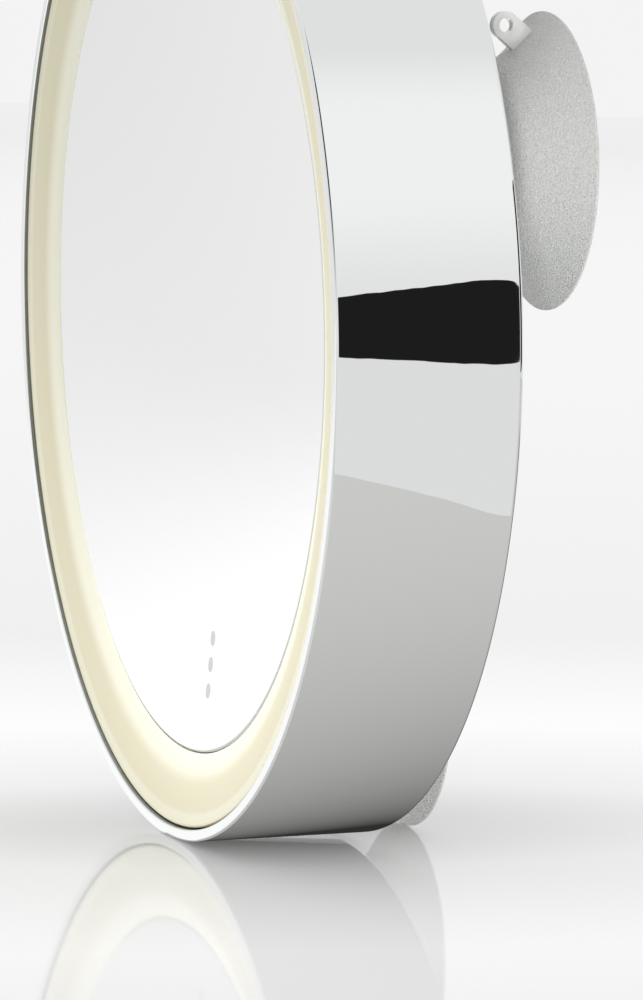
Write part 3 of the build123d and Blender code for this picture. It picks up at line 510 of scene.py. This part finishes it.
def node_materials(colours):
    """A finish for every CAD node that stays in view, by node."""
    # Spark-eroded mould skin: an even pebbled matt that hides finger marks
    abs_cover = grained(
        "spark_textured_abs", "#a9abaa", "#bcbebc", 0.6, (0.42, 0.6), 0.05, voronoi=True, IOR=1.54
    )
    # Plain mould skin, bright white so that it throws the LEDs' light forward
    abs_white = grained("white_moulded_abs", "#e9e9e6", "#f4f4f1", 3, (0.3, 0.42), 0.01, IOR=1.54)
    # Cells of blown foam
    foam = grained("closed_cell_foam", "#c9c9c4", "#e6e6e1", 0.5, (0.8, 0.95), 0.12, voronoi=True)
    # Zinc passivation leaves a bluish bloom in patches
    zinc = grained("passivated_zinc", "#b4b9bf", "#d4d8dc", 1.2, (0.25, 0.45), 0.01, Metallic=1.0)
    # Stainless heads, tumbled, so their corners stay bright
    steel = grained("tumbled_stainless", "#a6a8a9", "#cfd0d0", 0.8, (0.18, 0.34), 0.008, Metallic=1.0)
    # Drawn wire: even, slightly dark, faint draw lines
    spring = grained("drawn_spring_steel", "#8d8f90", "#babcbd", 0.4, (0.2, 0.38), 0.006, Metallic=1.0)
    # Rolled nickel plate, warm and soft
    nickel = grained("rolled_nickel", "#b9b4a8", "#d8d3c6", 1.5, (0.22, 0.4), 0.006, Metallic=1.0)
    # Cured rubber with a dry, faintly dusty skin
    rubber = grained("black_epdm_rubber", "#17181a", "#26282a", 0.7, (0.6, 0.8), 0.03, IOR=1.52)
    # Natural nylon, milky, with light going a little way in
    nylon = grained(
        "natural_nylon",
        "#dfdccf",
        "#ebe9df",
        2,
        (0.35, 0.5),
        0.01,
        IOR=1.53,
        Subsurface_Weight=0.2,
        Subsurface_Scale=1.5 * MM,
    )
    # Transfer-moulded epoxy: dull black with a fine sandy skin
    epoxy = grained("moulded_epoxy", "#191a1b", "#2a2b2d", 0.25, (0.55, 0.75), 0.02, IOR=1.55)
    # Extruded wire covering, smooth, with a soft waxy light along it
    sleeve = grained("pvc_wire_covering", "#a3281f", "#b7382c", 4, (0.3, 0.42), 0.004, IOR=1.53)
    # Soft-touch button: matt, with a fine blasted skin
    button = grained(
        "soft_touch_elastomer", "#84878a", "#94979a", 0.35, (0.55, 0.72), 0.03, voronoi=True, IOR=1.5
    )
    board = board_material()
    chrome_trim = chrome_material("chrome_plated_trim", colours.chrome, 0.004)
    finishes = {
        "rear_cover": abs_cover,
        "battery_door": abs_cover,
        "carrier_plate": abs_white,
        "glass_pad": foam,
        "led_board_screws": zinc,
        "small_screws": zinc,
        "cover_screws": steel,
        "battery_springs": spring,
        "button_spring": spring,
        "door_hinge_pin": spring,
        "battery_contacts": nickel,
        "rear_gasket": rubber,
        "door_gasket": rubber,
        "cup_bushes": nylon,
        "switch_plunger": nylon,
        "driver_parts": epoxy,
        "switch_body": epoxy,
        "led_wires": sleeve,
        "switch_wires": sleeve,
        "power_button": button,
        "led_board": board,
        "driver_board": board,
        "switch_board": board,
        "leds": led_material(),
        "button_bezel": chrome_trim,
    }
    for i in (1, 2, 3):
        finishes[f"cup_stud_{i}"] = nylon
        finishes[f"stud_clip_{i}"] = spring
        low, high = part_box(f"battery_{i}")
        finishes[f"battery_{i}"] = jacket_material(f"cell_sleeve_{i}", i != 2, low.z, high.z)
    return finishes


# Pieces, one operator each


class MIRROR_OT_drum(bpy.types.Operator):
    """Spin the chrome drum: its side, its flat front lip and the shoulder inside it"""

    bl_idname = "mirror.drum"
    bl_label = "Chrome drum"

    def execute(self, context):
        s, c = context.scene.mirror_sizes, context.scene.mirror_colours
        outer = DRUM_HIGH.x
        inner = outer - s.wall
        lip, rear = -LIP_Y, -REAR_Y
        flange = -(LIP_Y + LIGHT_DEPTH) - PLATE_T
        corners = [
            (inner, rear),
            (outer, rear),
            (outer, lip),
            (inner, lip),
            (inner, flange),
            (inner - s.shoulder, flange),
            (inner - s.shoulder, flange - s.shoulder_t),
            (inner, flange - s.shoulder_t),
        ]
        radii = [s.lip_break, s.rear_round, s.edge_round, s.lip_break, 0, 0, 0, 0]
        piece = turned(rounded(corners, radii, 8), steps=384)
        # The plating inside is as drawn, unpolished and dull, and its dark colour is also painted shade
        # of the gap behind the lip; it shows as a dark line inside the lip
        dull_shaded_plate = grained("unpolished_plate_and_painted_shade", "#85887f", "#9c9f99", 2, (0.4, 0.6), 0.01, Metallic=0.6)
        skins = [chrome_material("polished_chrome_plate", c.chrome), dull_shaded_plate]
        hand_over(piece, "chrome_drum", MAIN, "chrome_shell", skins, "drum_housing")
        for face in piece.data.polygons:
            where = face.center
            inside = hypot(where.x, where.z) < inner + 0.02 * MM
            face.material_index = int(inside)
        return {"FINISHED"}


class MIRROR_OT_light_ring(bpy.types.Operator):
    """Spin the frosted ring lens: domed face, seat under its inner edge and skirt"""

    bl_idname = "mirror.light_ring"
    bl_label = "Frosted light ring"

    def execute(self, context):
        s, c = context.scene.mirror_sizes, context.scene.mirror_colours
        outer = RING_HIGH.x
        inner = outer - s.ring_w
        top, foot = -RING_LOW.y, -RING_HIGH.y
        rim = -GLASS_LOW.y + 0.05 * MM
        plate_rim = inner + PLATE_T
        skirt = outer - s.ring_t
        slope = (top - rim) / s.ring_w
        face = arc_points((outer - s.ring_break, top), (inner + s.ring_break, rim), -s.ring_bulge, 16)
        under_in = rim + slope * (plate_rim - inner) - s.ring_t
        under_out = rim + slope * (skirt - inner) - s.ring_t
        under = arc_points((plate_rim, under_in), (skirt, under_out), s.ring_bulge, 12)
        outline = [
            *face,
            (inner, rim - s.ring_break),
            (inner, rim - s.ring_t),
            (plate_rim, rim - s.ring_t),
            *under,
            (skirt, foot),
            (outer, foot),
            (outer, top - s.ring_break),
        ]
        piece = turned(outline, steps=384)
        material = lens_material(c.lens, c.lens_painted_light, c.lens_rim)
        hand_over(piece, "frosted_ring", MAIN, "frosted_lens", [material], "light_diffuser")
        return {"FINISHED"}


class MIRROR_OT_glass(bpy.types.Operator):
    """Spin the concave glass with its ground edge"""

    bl_idname = "mirror.glass"
    bl_label = "Magnifying glass"

    def execute(self, context):
        s, c = context.scene.mirror_sizes, context.scene.mirror_colours
        rim_r = GLASS_HIGH.x
        front_rim = -GLASS_LOW.y
        edge_r = rim_r - s.glass_bevel
        centre = front_rim + sqrt(s.glass_curve**2 - edge_r**2)
        back = s.glass_curve + s.glass_t

        def sag(curve, r):
            return centre - sqrt(curve**2 - r**2)

        rings = 40
        outline = [(edge_r * i / rings, sag(s.glass_curve, edge_r * i / rings)) for i in range(rings + 1)]
        outline.append((rim_r, outline[-1][1] - s.glass_bevel))
        outline += [(rim_r * i / 8, sag(back, rim_r * i / 8)) for i in range(8, -1, -1)]
        piece = turned(outline, steps=256)
        # The edge is ground by a wheel, which leaves it matt and pale
        ground = grained("ground_glass_edge", "#dfe2df", "#eef0ee", 0.3, (0.45, 0.6), 0.01, IOR=1.52)
        skins = [silvered_material(c.silver), ground]
        hand_over(piece, "concave_mirror", MAIN, "silvered_glass", skins, "mirror_glass")
        for face in piece.data.polygons:
            face.material_index = int(hypot(face.center.x, face.center.z) > edge_r)
        return {"FINISHED"}


class MIRROR_OT_suction_cups(bpy.types.Operator):
    """Model one suction cup with its pull tab, and copy it to each of the three places"""

    bl_idname = "mirror.suction_cups"
    bl_label = "Suction cups"

    def cup(self, s, lip_r):
        """The cup itself, spun about its own axis, which stands on the origin."""
        root_low, root_high = -STUD_HIGH.y, -STUD_HIGH.y + STUD_ROOT_T
        lip_in = lip_r - s.cup_lip_flat
        shoulder = (s.cup_shoulder_r, s.cup_shoulder_h)
        neck = (s.cup_neck_r, s.cup_neck_h)
        side = arc_points((lip_r, s.cup_lip_t), shoulder, s.cup_hollow_side, 24)
        chord = Vector(shoulder) - Vector((lip_r, s.cup_lip_t))
        ahead = Vector(neck) - Vector(shoulder)
        # The crown leaves the shoulder in the direction in which the flank reaches it
        leaving = atan2(chord.y, chord.x) - 2 * atan(2 * s.cup_hollow_side / chord.length)
        turn = atan2(ahead.y, ahead.x) - leaving
        crown = arc_points(shoulder, neck, -ahead.length / 2 * tan(turn / 2), 24)
        curve = (lip_in**2 + s.cup_hollow**2) / (2 * s.cup_hollow)
        reach = asin(lip_in / curve)
        hollow = []
        for i in range(24):
            angle = reach * i / 24
            hollow.append((curve * sin(angle), s.cup_hollow - curve * (1 - cos(angle))))
        hollow.append((lip_in, 0))
        soft = 0.25 * MM
        lip = [(lip_r - soft, 0), (lip_r - soft * 0.3, soft * 0.3), (lip_r, soft)]
        hole = [(STUD_R, s.cup_neck_h), (STUD_R, root_high)]
        hole += [(STUD_ROOT_R, root_high), (STUD_ROOT_R, root_low)]
        outline = [*hollow, *lip, *side, *crown[1:], *hole, (0, root_low)]
        return turned(outline, steps=160), side

    def seat(self, side):
        """Where the tab stands on the flank, and its frame: it leans away from the cup's axis."""
        radius, height = side[len(side) // 2]
        lean = radians(90 - TAB_LEAN)
        across = Vector((0, cos(lean), sin(lean)))
        return Vector((0, -height, radius)), Vector((0, -sin(lean), cos(lean))), across

    def tab(self, s, seat, along, across):
        """The pull tab: a ring about its hole, drawn out to a straight root, thickened and bevelled."""
        deselect()
        bpy.ops.mesh.primitive_circle_add(vertices=48, radius=s.tab_hole_r, location=(0, 0, 0))
        bpy.ops.object.mode_set(mode="EDIT")
        bpy.ops.mesh.extrude_edges_move()
        grow = s.tab_w / 2 / s.tab_hole_r
        bpy.ops.transform.resize(value=(grow, grow, 1), center_override=(0, 0, 0))
        mesh = bmesh.from_edit_mesh(bpy.context.object.data)
        for edge in mesh.edges:
            ends = [v.co for v in edge.verts]
            rim = all(hypot(p.x, p.y) > s.tab_w * 0.49 for p in ends)
            edge.select = rim and all(p.x < 1e-6 for p in ends)
        bmesh.update_edit_mesh(bpy.context.object.data)
        root_x = -(s.tab_reach + s.tab_root)
        bpy.ops.mesh.extrude_edges_move()
        bpy.ops.transform.resize(value=(0, 1, 1), center_override=(root_x, 0, 0))
        bpy.ops.mesh.select_all(action="SELECT")
        bpy.ops.mesh.remove_doubles(threshold=1e-6)
        bpy.ops.mesh.normals_make_consistent(inside=False)
        bpy.ops.object.mode_set(mode="OBJECT")
        apply_modifier("SOLIDIFY", thickness=s.tab_t, offset=0.0)
        apply_modifier(
            "BEVEL", width=s.tab_break, segments=3, limit_method="ANGLE", angle_limit=radians(50)
        )
        piece = bpy.context.object
        turn = Matrix((along, across, along.cross(across))).transposed().to_4x4()
        shift = seat + along * s.tab_reach
        piece.data.transform(Matrix.Translation(shift) @ turn)
        bpy.ops.object.shade_smooth_by_angle(angle=radians(35))
        return piece

    def execute(self, context):
        s, c = context.scene.mirror_sizes, context.scene.mirror_colours
        lip_r = (CUP_HIGH.x - CUP_LOW.x) / 2
        first, side = self.cup(s, lip_r)
        seat, along, across = self.seat(side)
        tab = self.tab(s, seat, along, across)
        deselect()
        bpy.context.view_layer.objects.active = first
        first.select_set(True)
        apply_modifier("BOOLEAN", object=tab, operation="UNION", solver="MANIFOLD")
        bpy.data.objects.remove(tab)
        skins = [
            pvc_material("grained_translucent_pvc", c.pvc, True),
            pvc_material("glossy_translucent_pvc", c.tab, False),
        ]
        neck_y = -s.cup_neck_h
        for i, node in enumerate(CUPS, 1):
            low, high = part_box(node)
            piece = first if i == 3 else bpy.data.objects.new("cup", first.data.copy())
            if i != 3:
                context.collection.objects.link(piece)
            place = Matrix.Translation(((low.x + high.x) / 2, 0, (low.z + high.z) / 2))
            piece.data.transform(place)
            hand_over(piece, f"{node}_moulding", node, "clear_pvc", skins, node)
            centre = place.translation
            for face in piece.data.polygons:
                where = face.center - centre
                behind = face.normal.y > 0.02 and hypot(where.x, where.z) < lip_r - 0.5 * MM
                rise = where - seat
                on_tab = abs(rise.dot(across)) < s.tab_w * 0.55 and rise.dot(along) > 0
                on_tab = on_tab and abs(where.x) < s.tab_t * 0.55
                face.material_index = int(behind or on_tab or where.y < neck_y - 0.2 * MM)
        return {"FINISHED"}


class MIRROR_OT_finishes(bpy.types.Operator):
    """Give every CAD node that stays in view its own finish"""

    bl_idname = "mirror.finishes"
    bl_label = "Finishes of the other parts"

    def execute(self, context):
        for node, material in node_materials(context.scene.mirror_colours).items():
            for slot in NODES[node].material_slots:
                slot.material = material
        return {"FINISHED"}


# Stage


def stage_material(name, build):
    """A material made of shaders other than the Principled one."""
    material = bpy.data.materials.new(name)
    material.use_nodes = True
    tree = material.node_tree
    tree.nodes.clear()
    add_node(tree, "ShaderNodeOutputMaterial", {"Surface": build(tree)})
    return material


def card(name, corners, light, *fades):
    """A flat card that shows only in what mirrors it, and only on the side that its corners go round.

    Light is its brightness. Each fade names an axis and the places on it where the card is
    clear and where it is whole.
    """
    mesh = bpy.data.meshes.new(name)
    mesh.from_pydata([Vector(p) * MM for p in corners], [], [list(range(len(corners)))])
    piece = bpy.data.objects.new(name, mesh)
    bpy.context.collection.objects.link(piece)

    def build(tree):
        place = add_node(tree, "ShaderNodeTexCoord").outputs["Object"]
        axes = add_node(tree, "ShaderNodeSeparateXYZ", {0: place})
        back = add_node(tree, "ShaderNodeNewGeometry").outputs["Backfacing"]
        whole = add_node(tree, "ShaderNodeMath", {0: 1.0, 1: back}, operation="SUBTRACT").outputs[0]
        for axis, start, end in fades:
            values = {"Value": axes.outputs[axis], "From Min": start * MM, "From Max": end * MM}
            run = add_node(tree, "ShaderNodeMapRange", values, interpolation_type="SMOOTHSTEP")
            parts = {0: whole, 1: run.outputs[0]}
            whole = add_node(tree, "ShaderNodeMath", parts, operation="MULTIPLY").outputs[0]
        lit = light(tree, axes) if callable(light) else (light, light, light, 1.0)
        glow = add_node(tree, "ShaderNodeEmission", {"Color": lit, "Strength": 1.0}).outputs[0]
        clear = add_node(tree, "ShaderNodeBsdfTransparent").outputs[0]
        return add_node(tree, "ShaderNodeMixShader", {0: whole, 1: clear, 2: glow}).outputs[0]

    mesh.materials.append(stage_material(name, build))
    for kind in ("camera", "diffuse", "transmission", "volume_scatter", "shadow"):
        setattr(piece, f"visible_{kind}", False)
    return piece


def on_floor(above, places):
    """Corners that stand a height in millimetres above the tilted floor."""
    return [(x, y, FOOT_Z + above + FLOOR_SLOPE * (y - FOOT_Y)) for x, y in places]


def linked(name, rule, *pieces):
    """A collection that says which pieces a light goes to, or is blocked by."""
    group = bpy.data.collections.new(name)
    for number, piece in enumerate(pieces):
        group.objects.link(piece)
        group.collection_objects[number].light_linking.link_state = rule
    return group


def softbox(name, place, aim, size, power, rule, *pieces):
    """A square area light that points at a place, and lights all but some pieces or only those."""
    light = bpy.data.lights.new(name, "AREA")
    light.shape, light.size, light.energy = "SQUARE", size, power
    lamp = bpy.data.objects.new(name, light)
    bpy.context.collection.objects.link(lamp)
    lamp.location = place
    lamp.rotation_euler = (Vector(aim) - Vector(place)).to_track_quat("-Z", "Y").to_euler()
    lamp.visible_camera = lamp.visible_glossy = False
    lamp.light_linking.receiver_collection = linked(f"{name}_receivers", rule, *pieces)
    return lamp


class MIRROR_OT_stage(bpy.types.Operator):
    """Set the glossy white floor, the lights and the camera"""

    bl_idname = "mirror.stage"
    bl_label = "Floor, lights and camera"

    def camera(self, context):
        """A long lens to the right of the front, a little above the drum's axis."""
        data = bpy.data.cameras.new("camera")
        data.lens, data.sensor_width = CAMERA_LENS, 36.0
        data.clip_start, data.clip_end = 0.05, 100.0
        camera = bpy.data.objects.new("camera", data)
        context.collection.objects.link(camera)
        side, rise, roll = radians(CAMERA_SIDE), radians(CAMERA_RISE), radians(CAMERA_ROLL)
        turn, drop = side - radians(AIM_LEFT), rise + radians(AIM_DOWN)
        ahead = Vector((-sin(turn) * cos(drop), cos(turn) * cos(drop), -sin(drop)))
        level = ahead.cross(Vector((0, 0, 1))).normalized()
        up = level.cross(ahead)
        right = level * cos(roll) + up * sin(roll)
        up = up * cos(roll) - level * sin(roll)
        place = Matrix((right, up, -ahead)).transposed().to_4x4()
        eye = Vector((sin(side) * cos(rise), -cos(side) * cos(rise), sin(rise))) * CAMERA_AWAY
        place.translation = eye + Vector((0, LIP_Y, 0))
        camera.matrix_world = place
        context.scene.camera = camera

    def floor(self, colour):
        """A wide board, tilted a little, as the front lip and the lower cup both rest on it."""
        low_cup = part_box(CUPS[2])[0].z
        front, back = Vector((0, LIP_Y, DRUM_LOW.z)), Vector((0, 0, low_cup))
        along = (back - front).normalized()
        deselect()
        bpy.ops.mesh.primitive_circle_add(vertices=96, radius=9, fill_type="TRIFAN", location=(0, 0, 0))
        floor = bpy.context.object
        floor.name = floor.data.name = "floor"
        tilt = Matrix(((1, 0, 0), tuple(along), tuple(Vector((1, 0, 0)).cross(along)))).transposed()
        floor.data.transform(Matrix.Translation(front) @ tilt.to_4x4())
        material, tree, shader, place = new_material(
            "glossy_white_board", Base_Color=colour, IOR=1.16, Emission_Color=(1.0, 1.0, 1.0, 1.0)
        )
        haze = add_node(tree, "ShaderNodeTexNoise", {"Vector": place, "Scale": per(60), "Detail": 3.0})
        rough = add_node(
            tree, "ShaderNodeMapRange", {"Value": haze.outputs[0], "To Min": 0.03, "To Max": 0.06}
        )
        tree.links.new(rough.outputs[0], shader.inputs["Roughness"])
        # Painted light: the board itself glows round the drum to lift its shadow, all but where the drum
        # touches it, and glows less far out
        put = {"Vector": place, "Location": (0.015, 0.015, 0.06), "Scale": (1.0, 0.6, 0.6)}
        round_foot = add_node(tree, "ShaderNodeMapping", put).outputs[0]
        reach = add_node(tree, "ShaderNodeVectorMath", {0: round_foot}, operation="LENGTH")
        painted_glow = 0.04
        for start, end, rise in ((4, 60, 0.2), (60, 150, 0.08), (150, 330, -0.13), (400, 6000, -0.19)):
            values = {"Value": reach.outputs["Value"], "To Max": rise}
            values |= {"From Min": start * MM, "From Max": end * MM}
            step = add_node(tree, "ShaderNodeMapRange", values).outputs[0]
            painted_glow = add_node(tree, "ShaderNodeMath", {0: painted_glow, 1: step}, operation="ADD").outputs[0]
        tree.links.new(painted_glow, shader.inputs["Emission Strength"])
        floor.data.materials.append(material)
        return floor

    def cards(self):
        """White, grey and black cards round the set, which give the chrome something to mirror; the grey
        one is a painted shadow of the drum on the floor.
        """
        # To the right, just above the floor: a black card, rounded at its far end, before a white one
        black = rounded([(150, 72), (214, 117), (214, -100), (150, -62)], [0, 8, 6, 0])
        card("black_card", [(700, y, z) for y, z in black], 0.014)
        right = [(760, y, z) for y, z in ((-60, 1300), (1300, 1300), (1300, 40), (-60, 40))]
        card("right_white_card", right, 1.05, (2, 1300, 700), (2, 20, 390))
        # On the floor: a white sheet with a rounded tip, and a grey one that darkens to the drum, a
        # painted shadow of the drum that shows only in what mirrors it
        sheet = [(800, -400), (1100, 295), (770, 240), (262, 54), (161, 25), (228, 2), (300, -400)]
        sheet = rounded(sheet, [0, 0, 0, 0, 5.3, 0, 0])
        card("floor_white_sheet", on_floor(0.5, sheet), 0.865)

        def shade(tree, axes):
            """Painted shadow: dark up to a line beside the drum, and from there lighter by a steady
            share.
            """
            lean = add_node(tree, "ShaderNodeMath", {0: axes.outputs[1], 1: -0.3}, operation="MULTIPLY")
            parts = {0: axes.outputs[0], 1: lean.outputs[0]}
            away = add_node(tree, "ShaderNodeMath", parts, operation="ADD").outputs[0]
            short = add_node(tree, "ShaderNodeMath", {0: 23 * MM, 1: away}, operation="SUBTRACT")
            run = add_node(tree, "ShaderNodeMath", {0: short.outputs[0], 1: 42 * MM}, operation="DIVIDE")
            left = {0: run.outputs[0]}
            dark = add_node(tree, "ShaderNodeMath", left, operation="EXPONENT", use_clamp=True)
            return mix_colours(tree, dark.outputs[0], (0.72, 0.72, 0.695, 1.0), (0.03, 0.03, 0.027, 1.0))

        shadow_sheet = [(2, -400), (420, -400), (520, 400), (2, 400)]
        card("floor_painted_shadow", on_floor(0, shadow_sheet), shade)
        # To the left the floor brightens towards the drum, and the glass and the lip look into it
        glow = [(-1300, -1500), (14, -1500), (14, -51.5), (-3, -51.5), (-3, 300), (-1300, 300)]
        card("left_floor_glow", on_floor(0.3, glow), 1.13, (0, -1280, -480))
        # Behind the camera the room is dark
        dark = [(2200, -700, -60), (700, -2200, -60), (700, -2200, 2600), (2200, -700, 2600)]
        card("dark_room", dark, 0.05, (2, 0, 900))
        rear = [(620, 330, 330), (330, 900, 330), (330, 900, -110), (620, 330, -110)]
        card("rear_black_card", rear, 0.012)

    def execute(self, context):
        self.camera(context)
        floor = self.floor(context.scene.mirror_colours.floor)
        # The key lights the ring, and leaves the floor and the cups to the world's even light
        cups = [bpy.data.objects[f"{node}_moulding"] for node in CUPS]
        softbox("key", (-0.75, -0.18, 1.25), (0, -0.03, 0), 0.6, 44, "EXCLUDE", floor, *cups)
        fill = softbox("cup_fill", (1.25, -0.45, -0.55), (0.08, -0.01, 0.03), 0.5, 9, "INCLUDE", *cups)
        # The fill stands for light that the glossy board throws up, so the board doesn't block it
        fill.light_linking.blocker_collection = linked("cup_fill_blockers", "EXCLUDE", floor)
        world = bpy.data.worlds.new("studio")
        world.use_nodes = True
        world.node_tree.nodes["Background"].inputs["Color"].default_value = (0.9, 0.9, 0.9, 1.0)
        context.scene.world = world
        context.scene.view_settings.view_transform = "Standard"
        self.cards()
        return {"FINISHED"}


class MIRROR_PT_panel(bpy.types.Panel):
    """Sizes, colours and the steps that make the mirror"""

    bl_label = "Shaving mirror"
    bl_idname = "MIRROR_PT_panel"
    bl_space_type = "VIEW_3D"
    bl_region_type = "UI"
    bl_category = "Shaving mirror"

    def draw(self, context):
        for group in (context.scene.mirror_sizes, context.scene.mirror_colours):
            column = self.layout.column(align=True)
            for name in group.__annotations__:
                column.prop(group, name)
        for step in STEPS:
            self.layout.operator(step.bl_idname)


STEPS = (
    MIRROR_OT_drum,
    MIRROR_OT_light_ring,
    MIRROR_OT_glass,
    MIRROR_OT_suction_cups,
    MIRROR_OT_finishes,
    MIRROR_OT_stage,
)
CLASSES = (MirrorSizes, MirrorColours, *STEPS, MIRROR_PT_panel)


def register():
    for made in CLASSES:
        bpy.utils.register_class(made)
    bpy.types.Scene.mirror_sizes = bpy.props.PointerProperty(type=MirrorSizes)
    bpy.types.Scene.mirror_colours = bpy.props.PointerProperty(type=MirrorColours)


def unregister():
    del bpy.types.Scene.mirror_sizes
    del bpy.types.Scene.mirror_colours
    for made in reversed(CLASSES):
        bpy.utils.unregister_class(made)


def main():
    """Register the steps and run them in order."""
    register()
    bpy.ops.mirror.drum()
    bpy.ops.mirror.light_ring()
    bpy.ops.mirror.glass()
    bpy.ops.mirror.suction_cups()
    bpy.ops.mirror.finishes()
    bpy.ops.mirror.stage()


if __name__ == "__main__":
    main()
